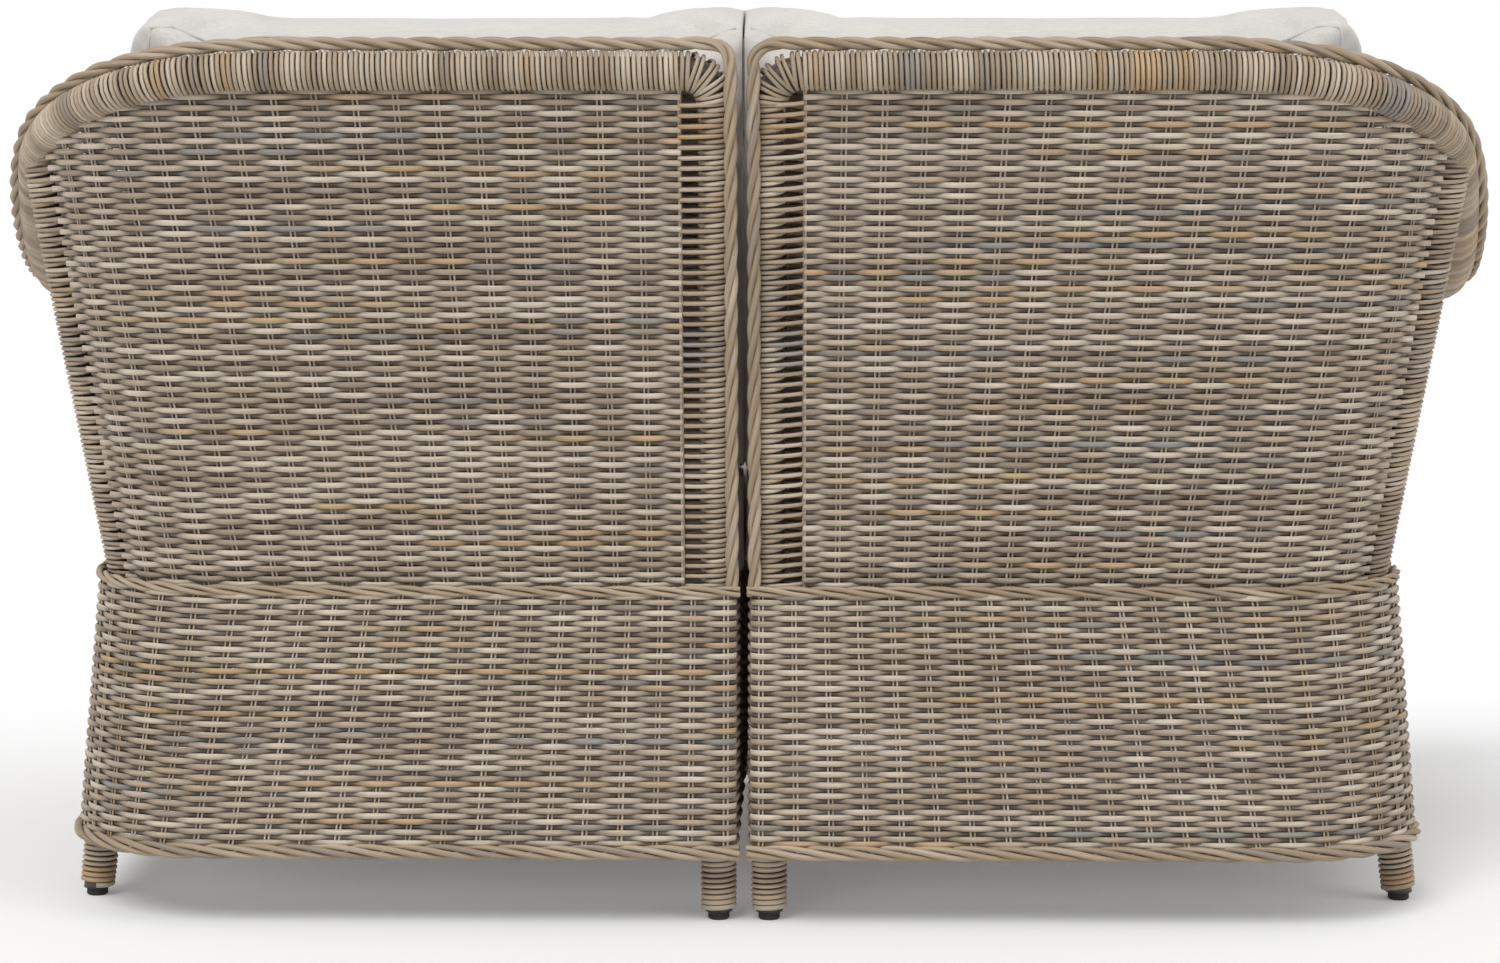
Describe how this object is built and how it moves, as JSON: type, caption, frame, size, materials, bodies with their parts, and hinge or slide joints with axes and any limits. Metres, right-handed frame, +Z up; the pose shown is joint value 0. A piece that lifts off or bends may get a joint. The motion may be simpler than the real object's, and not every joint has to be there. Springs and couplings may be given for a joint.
{
  "type": "patio loveseat",
  "caption": "Woven patio loveseat in free-standing halves, each with a rolled arm, a skirted base and loose seat and back cushions.",
  "frame": {"origin": "on the floor, under the middle of the object", "axes": "the sitter faces -Y, +X is to the sitter's left, +Z is up"},
  "size_m": [1.6268, 0.9, 0.9233],
  "materials": {
    "weave": "weathered round-strand wicker",
    "wrap": "wound round-strand wicker",
    "braid": "braided round-strand wicker",
    "cushion_fabric": "plain-woven outdoor cloth",
    "foam": "open foam",
    "frame_tube": "powder-coated aluminium",
    "slats": "powder-coated aluminium",
    "plug": "moulded plastic",
    "glide": "black rubber"
  },
  "bodies": {
    "left_half": {"left_frame_hoop": "frame_tube", "left_outer_back_post": "frame_tube", "left_inner_front_leg": "frame_tube", "left_back_stay": "frame_tube", "left_seat_ring": "frame_tube", "left_seat_slats": "slats", "left_hem_hoop": "frame_tube", "left_leg_plugs": "plug", "left_base_weave": "weave", "left_back_weave": "weave", "left_arm_weave": "weave", "left_inner_lining": "weave", "left_rail_wrap": "wrap", "left_inner_post_wrap": "wrap", "left_outer_post_wrap": "wrap", "left_front_post_wrap": "wrap", "left_leg_wraps": "wrap", "left_rail_braid": "braid", "left_waist_braid": "braid", "left_hem_braid": "braid"},
    "left_seat_cushion": {"left_seat_cushion_cover": "cushion_fabric", "left_seat_cushion_core": "foam"},
    "left_back_cushion": {"left_back_cushion_cover": "cushion_fabric", "left_back_cushion_core": "foam"},
    "left_foot_back_inner": {"left_foot_back_inner": "glide"},
    "left_foot_back_outer": {"left_foot_back_outer": "glide"},
    "left_foot_front_inner": {"left_foot_front_inner": "glide"},
    "left_foot_front_outer": {"left_foot_front_outer": "glide"},
    "right_half": {"right_frame_hoop": "frame_tube", "right_outer_back_post": "frame_tube", "right_inner_front_leg": "frame_tube", "right_back_stay": "frame_tube", "right_seat_ring": "frame_tube", "right_seat_slats": "slats", "right_hem_hoop": "frame_tube", "right_leg_plugs": "plug", "right_base_weave": "weave", "right_back_weave": "weave", "right_arm_weave": "weave", "right_inner_lining": "weave", "right_rail_wrap": "wrap", "right_inner_post_wrap": "wrap", "right_outer_post_wrap": "wrap", "right_front_post_wrap": "wrap", "right_leg_wraps": "wrap", "right_rail_braid": "braid", "right_waist_braid": "braid", "right_hem_braid": "braid"},
    "right_seat_cushion": {"right_seat_cushion_cover": "cushion_fabric", "right_seat_cushion_core": "foam"},
    "right_back_cushion": {"right_back_cushion_cover": "cushion_fabric", "right_back_cushion_core": "foam"},
    "right_foot_back_inner": {"right_foot_back_inner": "glide"},
    "right_foot_back_outer": {"right_foot_back_outer": "glide"},
    "right_foot_front_inner": {"right_foot_front_inner": "glide"},
    "right_foot_front_outer": {"right_foot_front_outer": "glide"}
  },
  "joints": [
    {"name": "halves_apart", "type": "slide", "parent": "left_half", "child": "right_half", "axis": [-1, 0, 0], "range_m": [0, 0.3]},
    {"name": "left_seat_cushion_lift", "type": "slide", "parent": "left_half", "child": "left_seat_cushion", "axis": [0, 0, 1], "range_m": [0, 0.6]},
    {"name": "left_back_cushion_lift", "type": "slide", "parent": "left_seat_cushion", "child": "left_back_cushion", "axis": [0, 0, 1], "range_m": [0, 0.5]},
    {"name": "left_foot_back_inner_turn", "type": "hinge", "parent": "left_half", "child": "left_foot_back_inner", "pos_m": [0.0258, 0.3404, 0.008], "axis": [0, 0, 1], "continuous": true},
    {"name": "left_foot_back_outer_turn", "type": "hinge", "parent": "left_half", "child": "left_foot_back_outer", "pos_m": [0.6847, 0.23582, 0.008], "axis": [0, 0, 1], "continuous": true},
    {"name": "left_foot_front_inner_turn", "type": "hinge", "parent": "left_half", "child": "left_foot_front_inner", "pos_m": [0.0258, -0.4054, 0.008], "axis": [0, 0, 1], "continuous": true},
    {"name": "left_foot_front_outer_turn", "type": "hinge", "parent": "left_half", "child": "left_foot_front_outer", "pos_m": [0.66329, -0.40343, 0.008], "axis": [0, 0, 1], "continuous": true},
    {"name": "right_seat_cushion_lift", "type": "slide", "parent": "right_half", "child": "right_seat_cushion", "axis": [0, 0, 1], "range_m": [0, 0.6]},
    {"name": "right_back_cushion_lift", "type": "slide", "parent": "right_seat_cushion", "child": "right_back_cushion", "axis": [0, 0, 1], "range_m": [0, 0.5]},
    {"name": "right_foot_back_inner_turn", "type": "hinge", "parent": "right_half", "child": "right_foot_back_inner", "pos_m": [-0.0258, 0.3404, 0.008], "axis": [0, 0, 1], "continuous": true},
    {"name": "right_foot_back_outer_turn", "type": "hinge", "parent": "right_half", "child": "right_foot_back_outer", "pos_m": [-0.6847, 0.23582, 0.008], "axis": [0, 0, 1], "continuous": true},
    {"name": "right_foot_front_inner_turn", "type": "hinge", "parent": "right_half", "child": "right_foot_front_inner", "pos_m": [-0.0258, -0.4054, 0.008], "axis": [0, 0, 1], "continuous": true},
    {"name": "right_foot_front_outer_turn", "type": "hinge", "parent": "right_half", "child": "right_foot_front_outer", "pos_m": [-0.66329, -0.40343, 0.008], "axis": [0, 0, 1], "continuous": true}
  ]
}
